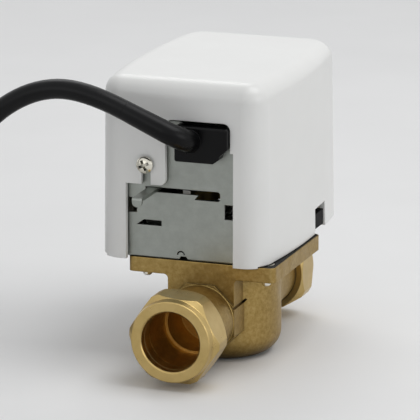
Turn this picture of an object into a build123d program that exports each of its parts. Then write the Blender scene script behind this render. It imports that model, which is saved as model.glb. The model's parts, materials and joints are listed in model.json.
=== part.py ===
from build123d import *
import os
from math import acos, atan2, ceil, copysign, cos, degrees, hypot, pi, radians, sin, sqrt, tan

# Motorized zone valve for 22 mm pipe. Millimetres, +Z up. The origin is the centre of the flat
# bottom of the valve body, the pipes run along Y, and the side with the hand lever faces -Y.

# Pipe ends and body casting
pipe_diameter = 22.0
pipe_clearance = 0.2  # radial, pipe in its socket and nut
socket_depth = 18.5
port_axis_z = 18.5
thread_end = 52.5  # half the length between the two threaded ends
thread_length = 9.0
thread_radius = 13.2
tube_radius = 13.0
barrel_radius = 21.0
barrel_wall = 3.5
barrel_floor = 4.5
barrel_bottom_round = 8.5
collar_flats = 26.6  # spanner collar, octagonal, across flats
collar_end = 27.2
root_round = 0.3  # where the tube leaves the collar
web_inset = 0.35  # web above the collar, narrower than it each side
web_groove = 0.8
web_round = 1.6  # between the web and the flange
flange_width = 57.2
flange_depth = 52.6
flange_thickness = 5.6
flange_corner = 2.2
flange_top = 40.0
neck_round = 2.5
passage_radius = 10.2
orifice_radius = 5.5
orifice_length = 2.6
step_bearing = 2.2  # depth of the spindle's lower bearing

# Compression nuts and olives
nut_flats = 31.5
nut_length = 15.5
nut_wall = 3.5
nut_face_drop = 0.85  # below the flats
nut_face_bevel = 0.25
nut_band_length = 2.7  # turned band between the face and the hexagon
nut_band_drop = 0.1
nut_corner_angle = 45.0  # between the corners' chamfer and the pipe's axis
nut_corner_cut = 0.75
nut_back_cut = 0.3
nut_back_chamfer = 3.0
nut_mouth_chamfer = 0.5
nut_thread_clearance = 0.1
nut_reach = 6.5  # from the threaded end out to the nut's face
inlet_nut_turned = -4.5  # degrees that each hexagon is turned about the pipe
outlet_nut_turned = 30.0
mouth_cone_depth = 2.4  # seat for the olive in the body's mouth
mouth_cone_rise = 1.0
thread_chamfer = 0.5
olive_inner_end = 0.4  # from the cone's foot
olive_ridge = 0.8  # of its widest line, beyond the threaded end
olive_fit = 0.1
olive_outer_drop = 0.7
olive_gap = 0.15
nut_relief = 0.2
nut_seat_rise = 1.0

# Bonnet: the plate let into the flange, its seal, screws and the spindle's bush
plate_thickness = 2.0
plate_margin = 0.6
plate_gap = 0.15
seal_section = 1.0  # radius of the ring's section
seal_room = 0.05
seal_groove = 1.15  # half width of the groove, in ring sections
seal_gap = 0.8  # from the chamber to the groove
bonnet_screw_in_x = 5.4  # from the flange's edges
bonnet_screw_in_y = 6.3
bonnet_screw_radius = 1.7
bonnet_head_radius = 3.2
bonnet_screw_length = 8.2
bonnet_screw_point = 0.5
bonnet_cross = (3.4, 0.8, 1.5)  # length, width and twice the depth of the driver's cross
bush_radius = 6.0
bush_collar_radius = 8.0
bush_collar = 1.6
bush_below = 6.4
bush_above = 2.4
bush_fit = 0.02

# Spindle line, where the head is centred
head_x = -7.2
spindle_radius = 3.0
spindle_play = 0.05
spindle_tip_radius = 2.4
spindle_end = 1.6  # above the lever
spindle_flat = 0.7
spindle_foot_gap = 0.3
spindle_chamfer = 0.5
o_ring_section = 0.5
o_ring_count = 2
o_ring_pitch = 3.2
o_ring_first = 2.6  # from the bush's lower end
o_ring_room = 0.1
clip_radius = 4.8
clip_thickness = 0.6
clip_groove = 0.6
clip_play = 0.02
clip_rise = 0.1
clip_mouth = 3.0

# Ball and its carrier in the chamber
ball_radius = 7.3
ball_y = -11.2
carrier_hub_radius = 5.0
carrier_cheek = 1.8
carrier_gap = 0.4
carrier_end_radius = 3.4
carrier_fit = 0.02
ball_pin_radius = 1.5
open_angle = 45.0

# Steel base frame
sheet = 1.2
frame_side_gap = 4.1  # to the cover's side
frame_wall_half = 24.3
frame_front = -25.9
frame_back = 56.0
frame_wall_top = 92.4
frame_back_top = 56.0
frame_corner = 6.0
frame_screw_in = [(-4.4, -3.3), (5.0, 3.5)]  # inwards from two bonnet screws
frame_screw_radius = 2.0
frame_screw_length = 5.0
frame_hole_floor = 0.6
frame_bush_gap = 0.4
fixing_head_radius = 3.0
fixing_head = 2.2
screw_tip = 0.3
screw_cross = 0.7
screw_cross_reach = 1.3  # in head radii
screw_cross_depth = 0.7  # of the head's height
screw_rim = 0.4  # of the head's height
slot_rise = 25.8  # top of the lever slot above the frame's floor
slot_left = 14.4  # lever slot, measured from the spindle line
slot_right = 14.7
slot_narrow = 1.9
slot_notch = 3.7
slot_notch_left = 4.7
slot_notch_slant = 1.4
slot_round = 1.1
window_left = 17.7  # inner edges
window_right = 16.4
window_width = 4.0
window_bottom = 56.8
window_height = 5.6
louvre_left = 18.0
louvre_width = 9.8
louvre_slant = 2.9
louvre_bottom = 52.3
louvre_height = 2.1
louvre_tongue = 2.6  # how far its tongue is bent inwards
bend_round = 0.8  # outside of the bend between the floor and the front wall
# Notch at the wall's foot, from the spindle line and up
edge_notch = [(-2.5, 0.0), (-1.3, 0.5), (-0.7, 1.5), (1.4, 1.5), (2.0, 0.6), (3.1, 0.0)]
edge_notch_reach = 5.0  # into the floor
pip_x = -0.7
pip_rise = 2.0
pip_radius = 1.55
pip_slit = 0.5

# Moulded cover
cover_wall = 2.0
cover_front = -29.0
cover_back = 64.4
cover_half_width = 34.6
cover_bow_radius = 288.0
cover_widest_y = 15.0
cover_front_corner = 9.0
cover_back_corner = 12.5
cover_rim_gap = 0.35  # rim over the flange
cover_leg_drop = 0.65  # of the front wall, before the flange
cover_leg_gap = 0.3
cover_top = 107.8
cover_top_round = 6.8
cover_draft = 0.8
leg_left = 21.1  # edges of the front opening, from the spindle line
leg_right = 20.6
tab_bottom = 68.4
tab_right = 5.6
tab_round = 2.4
opening_step = 82.4
opening_step_in = 1.2
opening_top = 93.3
opening_round = 2.6
cover_screw_x = 13.2
cover_screw_z = 76.0
cover_screw_slot = 3.6
cover_screw_head = 3.15
cover_screw_radius = 1.5
cover_screw_gap = 0.3
cover_screw_height = 2.1
cover_screw_cross = 1.05
cover_screw_turned = 25.0
cover_screw_tail = 1.5
side_notch_y = 24.7
side_notch_width = 13.7
side_notch_top = 49.9
locator_gap = 1.4  # from the locating block to the cover's outside
locator_in = 1.0
locator_round = 0.5
locator_top_gap = 2.9
upstand_in = 0.8

# Quadrant gear, lever and pinion
gear_module = 0.8
quadrant_teeth = 60
pinion_teeth = 12
quadrant_thickness = 1.6
quadrant_hub_radius = 6.0
quadrant_hub_length = 6.0
quadrant_spare_teeth = 2
disc_radius = 16.0
spigot_radius = 4.4
spigot_play = 0.05
set_screw_radius = 1.25
set_screw_length = 3.2
set_screw_hex = 0.75
set_screw_hex_depth = 1.4
spigot_rise = 0.6
pinion_face = 3.4
backlash = 0.12
addendum = 0.9  # in modules
dedendum = 1.25
tooth_foot = 0.5  # how far each tooth runs into its wheel
lever_headroom = 0.2  # in its slot
lever_offset = 11.3  # strip's middle line to the spindle line at rest
lever_width = 4.0
lever_thickness = 1.2
lever_reach = 43.0
lever_root_radius = 12.0
lever_straight = 12.0  # where its parallel sides start, in front of the spindle line
lever_taper = 3.2
lever_tip_drop = 1.5
lever_tip_width = 3.8
rivet_radius = 1.3
rivet_head = 2.1
rivet_head_height = 0.9
rivet_circle = 9.5
rivet_angles = (200, 320)
striker_radius = 21.0  # the pin that presses the switch, from the spindle line
striker_rest = 118.0
striker_lug = 2.4
striker_gap = 0.4

# Return spring round the spindle
spring_wire = 0.65  # radius
spring_radius = 9.6
spring_floor_gap = 3.4
spring_pitch = 2.1
spring_turns = 5.5
spring_leg = 9.0
post_radius = 1.5
post_gap = 0.1
post_beyond = 2.2  # past the spring's leg
post_in = 1.5  # from the leg's end

# Motor deck and motor
deck_gap = 3.2  # above the lever
deck_side_gap = 3.6
deck_corner = 4.0
deck_front = -20.0
deck_back = 54.5
pillar_in = 7.0
pillar_front = -16.0
pillar_back = 50.5
pillar_radius = 2.8
pillar_spigot = 1.75
pillar_hole = 1.8
pillar_tap = 6.0
tap_play = 0.02
deck_screw_radius = 1.5
deck_screw_head = 2.6
deck_screw_height = 2.0
deck_screw_length = 6.5
motor_y = 35.0
gearbox_height = 8.0
can_height = 16.0
can_inset = 0.6
can_round = 2.0
can_boss_radius = 3.5
can_boss = 0.8
ear_side_gap = 2.4
ear_end = 3.4  # beyond the screw
ear_width = 9.0
ear_thickness = 1.2
motor_screw_gap = 0.2
motor_screw_length = 4.5
shaft_radius = 1.5
motor_boss_radius = 5.0
motor_boss_gap = 0.3
shaft_in_motor = 4.0
terminal_width = 13.0
terminal_depth = 2.4
terminal_height = 7.0
terminal_rise = 8.0

# Microswitch beside the spring, held to the frame's left upstand
switch_card_thickness = 1.15
switch_y = 4.0
switch_floor_gap = 1.4
switch_width = 10.3
switch_length = 27.8
switch_height = 14.0
switch_screw_pitch = 22.2
switch_screw_z = 3.4  # from the switch's foot
switch_button_y = -4.0
button_radius = 1.4
leaf_pivot_y = -8.0
leaf_end_y = 16.5
leaf_pin_radius = 0.6
blade_width = 4.8
blade_length = 7.5
blade_thickness = 0.8
leaf_thickness = 0.5
leaf_width = 4.4
leaf_lift = 2.0
leaf_round = 1.5
lug_width = 1.3
lug_gap = 0.3
lug_length = 3.0
lug_rise = 0.9
switch_chamfer = 0.5
card_margin = 0.8
button_depth = 4.0
button_tail = 3.4
button_round = 0.5
button_gap = 0.05
blade_rises = (6.4, 9.2, 12.0)
blade_chamfer = 0.8
blade_hole = 0.7
blade_hole_in = 2.4
switch_screw_beyond = 0.8

# Strain relief and mains lead
cable_radius = 3.7
grommet_left = -8.5
grommet_right = 11.9
grommet_bottom = 78.5
grommet_top = 91.8
grommet_front = -31.0
grommet_back = -20.0
grommet_neck = 1.5
grommet_play = 0.15
grommet_steps = [(5.6, 0.0), (3.2, 1.7), (3.0, 3.0), (0.0, 5.7)]  # in from the right, and up
grommet_side_round = 0.8
grommet_face_round = 0.6
boot_root_radius = 4.3
boot_bend = 8.5
boot_path = [(-2.5, -30.0, 86.3), (-2.5, -39.2, 88.8), (-24.0, -40.2, 98.5)]
lead_first_run = 17.4
lead_route = [
    (-60.0, -42.0, 104.0),
    (-79.4, -43.0, 90.2),
    (-90.8, -44.5, 67.0),
    (-96.4, -46.5, 36.0),
    (-107.5, -48.5, 15.4),
]
lead_landing_x = -127.5
lead_end_x = -146.5
cable_lift = 0.05  # above the surface
coil_centre_y = -6.0
coil_radius = 44.0  # where the lead joins the coil
coil_pitch = 8.0
coil_layer = 7.9
coil_turns_in = 1.25
coil_turns_out = 1.0
core_count = 5
core_radius = 1.05
core_circle = 1.9
core_first = 10.0  # degrees round the section
core_bend = 42.0
core_length = 22.0
core_tip_radius = 0.55
core_tip_length = 6.0


def half(value):
    return value / 2


def pipe_radius():
    """Bore of the sockets and nuts."""
    return half(pipe_diameter) + pipe_clearance


def arc_middle(start, tangent, end):
    """Middle point of the arc that leaves start along tangent and ends at end."""
    chord = end - start
    along = chord.normalized()
    side = tangent - along * tangent.dot(along)
    if side.length < 1e-9:
        return start + chord * 0.5
    angle = acos(max(-1.0, min(1.0, tangent.dot(along))))
    return start + chord * 0.5 + side.normalized() * (half(chord.length) * tan(half(angle)))


def add_biarcs(points, tangents):
    """Two tangent arcs from each point to the next, inside an open BuildLine."""
    for start, end, leaving, arriving in zip(points, points[1:], tangents, tangents[1:]):
        span, both = end - start, leaving + arriving
        slack = 2 * (1 - leaving.dot(arriving))
        pull = span.dot(both)
        reach = (-pull + sqrt(pull * pull + slack * span.dot(span))) / slack
        joint = (start + end + (leaving - arriving) * reach) * 0.5
        ThreePointArc(start, arc_middle(start, leaving, joint), joint)
        ThreePointArc(joint, arc_middle(end, arriving * -1, joint), end)


def save(part, label):
    part.label = label
    export_step(part, f"parts/{label}.step")


os.makedirs("parts", exist_ok=True)

# Places that follow from the sizes above
floor_top = flange_top + sheet
cover_bottom = flange_top + cover_rim_gap
spring_bottom = floor_top + spring_floor_gap
slot_top = floor_top + slot_rise
lever_top = slot_top - lever_headroom
quadrant_top = lever_top - lever_thickness
quadrant_bottom = quadrant_top - quadrant_thickness
spindle_top = lever_top + spindle_end
deck_bottom = lever_top + deck_gap
inner_half_width = cover_half_width - cover_wall
frame_half_width = inner_half_width - frame_side_gap
deck_half_width = inner_half_width - deck_side_gap
ear_half_width = inner_half_width - ear_side_gap
motor_screw_x = ear_half_width - ear_end
motor_radius = motor_screw_x - deck_screw_head - motor_screw_gap
pillar_x = deck_half_width - pillar_in
bonnet_screw_x = half(flange_width) - bonnet_screw_in_x
bonnet_screw_y = half(flange_depth) - bonnet_screw_in_y
frame_screws = [
    (copysign(bonnet_screw_x, x) - x, copysign(bonnet_screw_y, y) - y) for x, y in frame_screw_in
]

# Valve body
chamber_radius = barrel_radius - barrel_wall
flange_bottom = flange_top - flange_thickness
seal_radius = chamber_radius + seal_gap + seal_section
pocket_z = flange_top - plate_thickness
groove_depth = 2 * seal_section + seal_room
socket_stop = thread_end - socket_depth
web_top = port_axis_z + half(collar_flats) * tan(pi / 8)
web_side = half(collar_flats) - web_inset
octagon_radius = half(collar_flats) / cos(pi / 8)
screw_tip_z = flange_top - bonnet_screw_length

with BuildPart() as valve_body:
    with BuildSketch() as barrel_plan:
        Circle(barrel_radius)
    extrude(amount=flange_bottom)
    fillet(valve_body.edges().group_by(Axis.Z)[0], barrel_bottom_round)
    with BuildSketch(Plane.XY.offset(flange_bottom)) as flange_plan:
        RectangleRounded(flange_width, flange_depth, flange_corner)
    extrude(amount=flange_thickness)
    neck_edges = valve_body.edges().filter_by(GeomType.CIRCLE)
    fillet([e for e in neck_edges if abs(e.radius - barrel_radius) < 0.01], neck_round)
    with BuildSketch(Plane.XZ) as web_profile:
        with Locations((0, half(port_axis_z + flange_bottom))):
            Rectangle(2 * web_side, flange_bottom - port_axis_z)
        with Locations((0, flange_bottom - half(web_round))):
            Rectangle(2 * (web_side + web_round), web_round)
        for side in (-1, 1):
            with Locations((side * (web_side + web_round), flange_bottom - web_round)):
                Circle(web_round, mode=Mode.SUBTRACT)
    extrude(amount=half(flange_depth), both=True)
    for side in (-1, 1):
        with BuildSketch(Plane.XZ) as collar_profile:
            with Locations((0, port_axis_z)):
                RegularPolygon(octagon_radius, 8, rotation=22.5)
        extrude(amount=-side * collar_end)
        with BuildSketch(Plane.YZ) as tube_profile:
            with BuildLine():
                Polyline(
                    (0, port_axis_z),
                    (0, port_axis_z + tube_radius + root_round),
                    (side * collar_end, port_axis_z + tube_radius + root_round),
                    (side * (collar_end + root_round), port_axis_z + tube_radius),
                    (side * (thread_end - thread_length), port_axis_z + tube_radius),
                    (side * (thread_end - thread_length), port_axis_z + thread_radius),
                    (side * (thread_end - thread_chamfer), port_axis_z + thread_radius),
                    (side * thread_end, port_axis_z + thread_radius - thread_chamfer),
                    (side * thread_end, port_axis_z),
                    close=True,
                )
            make_face()
        revolve(axis=Axis((0, 0, port_axis_z), (0, 1, 0)))
    # Grooves along the web's foot, one on each side
    with BuildSketch(Plane.XZ) as groove_profile:
        with Locations((half(collar_flats), web_top), (-half(collar_flats), web_top)):
            Rectangle(2 * web_groove, web_groove, rotation=45)
    extrude(amount=collar_end + 1, both=True, mode=Mode.SUBTRACT)
    # Chamber, its seal groove and the pocket for the bonnet plate
    with BuildSketch(Plane.XY.offset(barrel_floor)) as chamber_plan:
        Circle(chamber_radius)
    extrude(amount=flange_top - barrel_floor, mode=Mode.SUBTRACT)
    with BuildSketch(Plane.XY.offset(pocket_z)) as pocket_plan:
        RectangleRounded(
            flange_width - 2 * plate_margin, flange_depth - 2 * plate_margin, flange_corner - plate_margin
        )
    extrude(amount=plate_thickness, mode=Mode.SUBTRACT)
    with BuildSketch(Plane.XY.offset(pocket_z)) as groove_plan:
        Circle(seal_radius + seal_groove * seal_section)
        Circle(seal_radius - seal_groove * seal_section, mode=Mode.SUBTRACT)
    extrude(amount=-groove_depth, mode=Mode.SUBTRACT)
    # Pipe sockets and passages, then the orifice that the ball closes
    for side, passage_start in ((-1, chamber_radius + orifice_length), (1, 0)):
        with BuildSketch(Plane.YZ) as bore_profile:
            with BuildLine():
                Polyline(
                    (side * passage_start, port_axis_z),
                    (side * passage_start, port_axis_z + passage_radius),
                    (side * socket_stop, port_axis_z + passage_radius),
                    (side * socket_stop, port_axis_z + pipe_radius()),
                    (side * (thread_end - mouth_cone_depth), port_axis_z + pipe_radius()),
                    (side * thread_end, port_axis_z + pipe_radius() + mouth_cone_rise),
                    (side * thread_end, port_axis_z),
                    close=True,
                )
            make_face()
        revolve(axis=Axis((0, 0, port_axis_z), (0, 1, 0)), mode=Mode.SUBTRACT)
    with BuildSketch(Plane.XZ) as orifice_plan:
        with Locations((0, port_axis_z)):
            Circle(orifice_radius)
    extrude(amount=chamber_radius + orifice_length + 1, mode=Mode.SUBTRACT)
    # Screw holes and the step bearing for the spindle
    with Locations(Plane.XY.offset(flange_top)):
        with GridLocations(2 * bonnet_screw_x, 2 * bonnet_screw_y, 2, 2):
            Hole(bonnet_screw_radius + spindle_play, depth=flange_thickness + 1)
        with Locations(frame_screws):
            Hole(frame_screw_radius + spindle_play, depth=flange_thickness - frame_hole_floor)
    with Locations((head_x, 0, barrel_floor)):
        Hole(spindle_tip_radius + spindle_play, depth=step_bearing)
save(valve_body.part, "valve_body")

# Compression nuts and olives, one pair at each pipe end
nut_face = thread_end + nut_reach
nut_corner = half(nut_flats) / cos(pi / 6)


def build_nut(side, turned):
    """Hexagonal nut on the pipe axis. Its plain face looks along side * Y."""
    back = nut_face - nut_length
    seat = nut_face - nut_wall
    corner = nut_corner - nut_corner_cut
    thread_bore = thread_radius + nut_thread_clearance
    face_radius = half(nut_flats) - nut_face_drop
    band_radius = half(nut_flats) - nut_band_drop
    cone = nut_band_length + (corner - band_radius) / tan(radians(nut_corner_angle))
    with BuildPart() as nut:
        with BuildSketch(Plane.XZ.offset(-side * back)) as hexagon:
            with Locations((0, port_axis_z)):
                RegularPolygon(nut_corner, 6, rotation=turned)
        extrude(amount=-side * nut_length)
        with BuildSketch(Plane.YZ) as turned_profile:
            with BuildLine():
                Polyline(
                    (side * back, port_axis_z),
                    (side * back, port_axis_z + half(nut_flats) - nut_back_cut),
                    (side * (back + nut_back_chamfer), port_axis_z + corner),
                    (side * (nut_face - cone), port_axis_z + corner),
                    (side * (nut_face - nut_band_length), port_axis_z + band_radius),
                    (side * (nut_face - nut_face_bevel), port_axis_z + face_radius + nut_face_bevel),
                    (side * nut_face, port_axis_z + face_radius),
                    (side * nut_face, port_axis_z),
                    close=True,
                )
            make_face()
        revolve(axis=Axis((0, 0, port_axis_z), (0, 1, 0)), mode=Mode.INTERSECT)
        with BuildSketch(Plane.YZ) as hollow_profile:
            with BuildLine():
                Polyline(
                    (side * back, port_axis_z),
                    (side * back, port_axis_z + thread_bore),
                    (side * (thread_end + olive_ridge + nut_relief), port_axis_z + thread_bore),
                    (side * seat, port_axis_z + pipe_radius() + nut_seat_rise),
                    (side * seat, port_axis_z + pipe_radius()),
                    (side * (nut_face - nut_mouth_chamfer), port_axis_z + pipe_radius()),
                    (side * nut_face, port_axis_z + pipe_radius() + nut_mouth_chamfer),
                    (side * nut_face, port_axis_z),
                    close=True,
                )
            make_face()
        revolve(axis=Axis((0, 0, port_axis_z), (0, 1, 0)), mode=Mode.SUBTRACT)
    return nut.part


def build_olive(side):
    """Ring between the cone in the body's mouth and the nut's seat."""
    inner_end = thread_end - mouth_cone_depth + olive_inner_end
    ridge = thread_end + olive_ridge
    outer_end = nut_face - nut_wall - olive_gap
    slope = mouth_cone_rise / mouth_cone_depth
    ridge_rise = (mouth_cone_depth + olive_ridge) * slope - olive_fit
    inner_rise = olive_inner_end * slope - 0.6 * olive_fit
    with BuildPart() as olive:
        with BuildSketch(Plane.YZ) as olive_profile:
            with BuildLine():
                Polyline(
                    (side * inner_end, port_axis_z + pipe_radius()),
                    (side * inner_end, port_axis_z + pipe_radius() + inner_rise),
                    (side * ridge, port_axis_z + pipe_radius() + ridge_rise),
                    (side * outer_end, port_axis_z + pipe_radius() + ridge_rise - olive_outer_drop),
                    (side * outer_end, port_axis_z + pipe_radius()),
                    close=True,
                )
            make_face()
        revolve(axis=Axis((0, 0, port_axis_z), (0, 1, 0)))
    return olive.part


save(build_nut(-1, inlet_nut_turned), "inlet_nut")
save(build_nut(1, outlet_nut_turned), "outlet_nut")
save(build_olive(-1), "inlet_olive")
save(build_olive(1), "outlet_olive")

# Bonnet plate, seal, screws and bush
with BuildPart() as bonnet_plate:
    with BuildSketch(Plane.XY.offset(pocket_z)) as bonnet_plan:
        RectangleRounded(
            flange_width - 2 * plate_margin - 2 * plate_gap,
            flange_depth - 2 * plate_margin - 2 * plate_gap,
            flange_corner - plate_margin,
        )
    extrude(amount=plate_thickness)
    with Locations(Plane.XY.offset(flange_top)):
        with GridLocations(2 * bonnet_screw_x, 2 * bonnet_screw_y, 2, 2):
            CounterSinkHole(
                bonnet_screw_radius + spindle_play,
                bonnet_head_radius + spindle_play,
                depth=plate_thickness,
                counter_sink_angle=90,
            )
        with Locations((head_x, 0)):
            Hole(bush_radius + bush_fit, depth=plate_thickness)
        with Locations(frame_screws):
            Hole(frame_screw_radius + spindle_play, depth=plate_thickness)
save(bonnet_plate.part, "bonnet_plate")

with BuildPart() as bonnet_seal:
    with Locations((0, 0, pocket_z - seal_section - half(seal_room))):
        Torus(seal_radius, seal_section)
save(bonnet_seal.part, "bonnet_seal")

with BuildPart() as bonnet_screws:
    with BuildSketch(Plane.XZ) as countersunk_profile:
        with BuildLine():
            Polyline(
                (0, flange_top),
                (bonnet_head_radius, flange_top),
                (bonnet_screw_radius, flange_top - bonnet_head_radius + bonnet_screw_radius),
                (bonnet_screw_radius, screw_tip_z + bonnet_screw_point),
                (bonnet_screw_radius - bonnet_screw_point, screw_tip_z),
                (0, screw_tip_z),
                close=True,
            )
        make_face()
    countersunk = revolve(axis=Axis.Z, mode=Mode.PRIVATE)
    with GridLocations(2 * bonnet_screw_x, 2 * bonnet_screw_y, 2, 2):
        add(countersunk)
    with Locations(Plane.XY.offset(flange_top)):
        with GridLocations(2 * bonnet_screw_x, 2 * bonnet_screw_y, 2, 2):
            Box(bonnet_cross[0], bonnet_cross[1], bonnet_cross[2], mode=Mode.SUBTRACT)
            Box(bonnet_cross[1], bonnet_cross[0], bonnet_cross[2], mode=Mode.SUBTRACT)
save(bonnet_screws.part, "bonnet_screws")

bush_bottom = pocket_z - bush_below
bush_top = flange_top + bush_above
with BuildPart() as spindle_bush:
    with BuildSketch(Plane.XY.offset(bush_bottom)) as bush_plan:
        with Locations((head_x, 0)):
            Circle(bush_radius)
    extrude(amount=bush_top - bush_bottom)
    with BuildSketch(Plane.XY.offset(pocket_z - bush_collar)) as collar_plan:
        with Locations((head_x, 0)):
            Circle(bush_collar_radius)
    extrude(amount=bush_collar)
    with Locations((head_x, 0, bush_top)):
        Hole(spindle_radius + spindle_play, depth=bush_top - bush_bottom)
save(spindle_bush.part, "spindle_bush")

# Spindle, its rings and clip
ring_zs = [bush_bottom + o_ring_first + o_ring_pitch * k for k in range(o_ring_count)]
ring_radius = spindle_radius + spindle_play - o_ring_section - 0.01
clip_z = bush_top + clip_rise
hub_bottom = quadrant_bottom - quadrant_hub_length
with BuildPart() as spindle:
    with BuildSketch(Plane.XY.offset(barrel_floor + spindle_foot_gap)) as spindle_plan:
        with Locations((head_x, 0)):
            Circle(spindle_radius)
    extrude(amount=spindle_top - barrel_floor - spindle_foot_gap)
    chamfer(spindle.edges().group_by(Axis.Z)[-1], spindle_chamfer)
    with BuildSketch(Plane.XY.offset(barrel_floor + spindle_foot_gap)) as tip_plan:
        with Locations((head_x, 0)):
            Circle(spindle_tip_radius)
    extrude(amount=-step_bearing)
    for ring_z in ring_zs:
        with BuildSketch(Plane.XY.offset(ring_z - o_ring_section - o_ring_room)) as groove_plan:
            with Locations((head_x, 0)):
                Circle(spindle_radius + 1)
                Circle(ring_radius - o_ring_section - 0.01, mode=Mode.SUBTRACT)
        extrude(amount=2 * o_ring_section + 2 * o_ring_room, mode=Mode.SUBTRACT)
    with BuildSketch(Plane.XY.offset(clip_z)) as clip_groove_plan:
        with Locations((head_x, 0)):
            Circle(spindle_radius + 1)
            Circle(spindle_radius - clip_groove, mode=Mode.SUBTRACT)
    extrude(amount=clip_thickness + 2 * clip_play, mode=Mode.SUBTRACT)
    with BuildSketch(Plane.XY.offset(hub_bottom - 1)) as flat_plan:
        with Locations((head_x + 2 * spindle_radius - spindle_flat, 0)):
            Rectangle(2 * spindle_radius, 4 * spindle_radius)
    extrude(amount=spindle_top, mode=Mode.SUBTRACT)
save(spindle.part, "spindle")

with BuildPart() as spindle_o_rings:
    with Locations([(head_x, 0, ring_z) for ring_z in ring_zs]):
        Torus(ring_radius, o_ring_section)
save(spindle_o_rings.part, "spindle_o_rings")

with BuildPart() as spindle_clip:
    with BuildSketch(Plane.XY.offset(clip_z + clip_play)) as clip_plan:
        with Locations((head_x, 0)):
            Circle(clip_radius)
            Circle(spindle_radius - clip_groove + clip_play, mode=Mode.SUBTRACT)
            with Locations((0, clip_radius)):
                Rectangle(clip_mouth, 2 * clip_radius, mode=Mode.SUBTRACT)
    extrude(amount=clip_thickness)
save(spindle_clip.part, "spindle_clip")

# Ball carrier, ball and pin, drawn closed
arm_x, arm_y = -head_x, ball_y
arm_length = hypot(arm_x, arm_y)
arm_angle = degrees(atan2(arm_y, arm_x))
cheek_z = ball_radius + carrier_gap
with BuildPart() as ball_carrier:
    with BuildSketch(Plane.XY.offset(port_axis_z - cheek_z - carrier_cheek)) as hub_plan:
        with Locations((head_x, 0)):
            Circle(carrier_hub_radius)
    extrude(amount=2 * (cheek_z + carrier_cheek))
    for cheek_bottom in (port_axis_z - cheek_z - carrier_cheek, port_axis_z + cheek_z):
        with BuildSketch(Plane.XY.offset(cheek_bottom)) as cheek_plan:
            with Locations(Location((head_x + half(arm_x), half(arm_y)), arm_angle)):
                SlotCenterToCenter(arm_length, 2 * carrier_end_radius)
        extrude(amount=carrier_cheek)
    with BuildSketch(Plane.XY.offset(port_axis_z + cheek_z + carrier_cheek)) as holes_plan:
        with Locations((head_x, 0)):
            Circle(spindle_radius + carrier_fit)
        with Locations((0, ball_y)):
            Circle(ball_pin_radius)
    extrude(amount=-2 * (cheek_z + carrier_cheek), mode=Mode.SUBTRACT)
save(ball_carrier.part, "ball_carrier")

with BuildPart() as rubber_ball:
    with Locations((0, ball_y, port_axis_z)):
        Sphere(ball_radius)
        Cylinder(ball_pin_radius, 4 * ball_radius, mode=Mode.SUBTRACT)
save(rubber_ball.part, "rubber_ball")

with BuildPart() as ball_pin:
    with BuildSketch(Plane.XY.offset(port_axis_z - cheek_z - carrier_cheek)) as pin_plan:
        with Locations((0, ball_y)):
            Circle(ball_pin_radius)
    extrude(amount=2 * (cheek_z + carrier_cheek))
save(ball_pin.part, "ball_pin")

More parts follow.
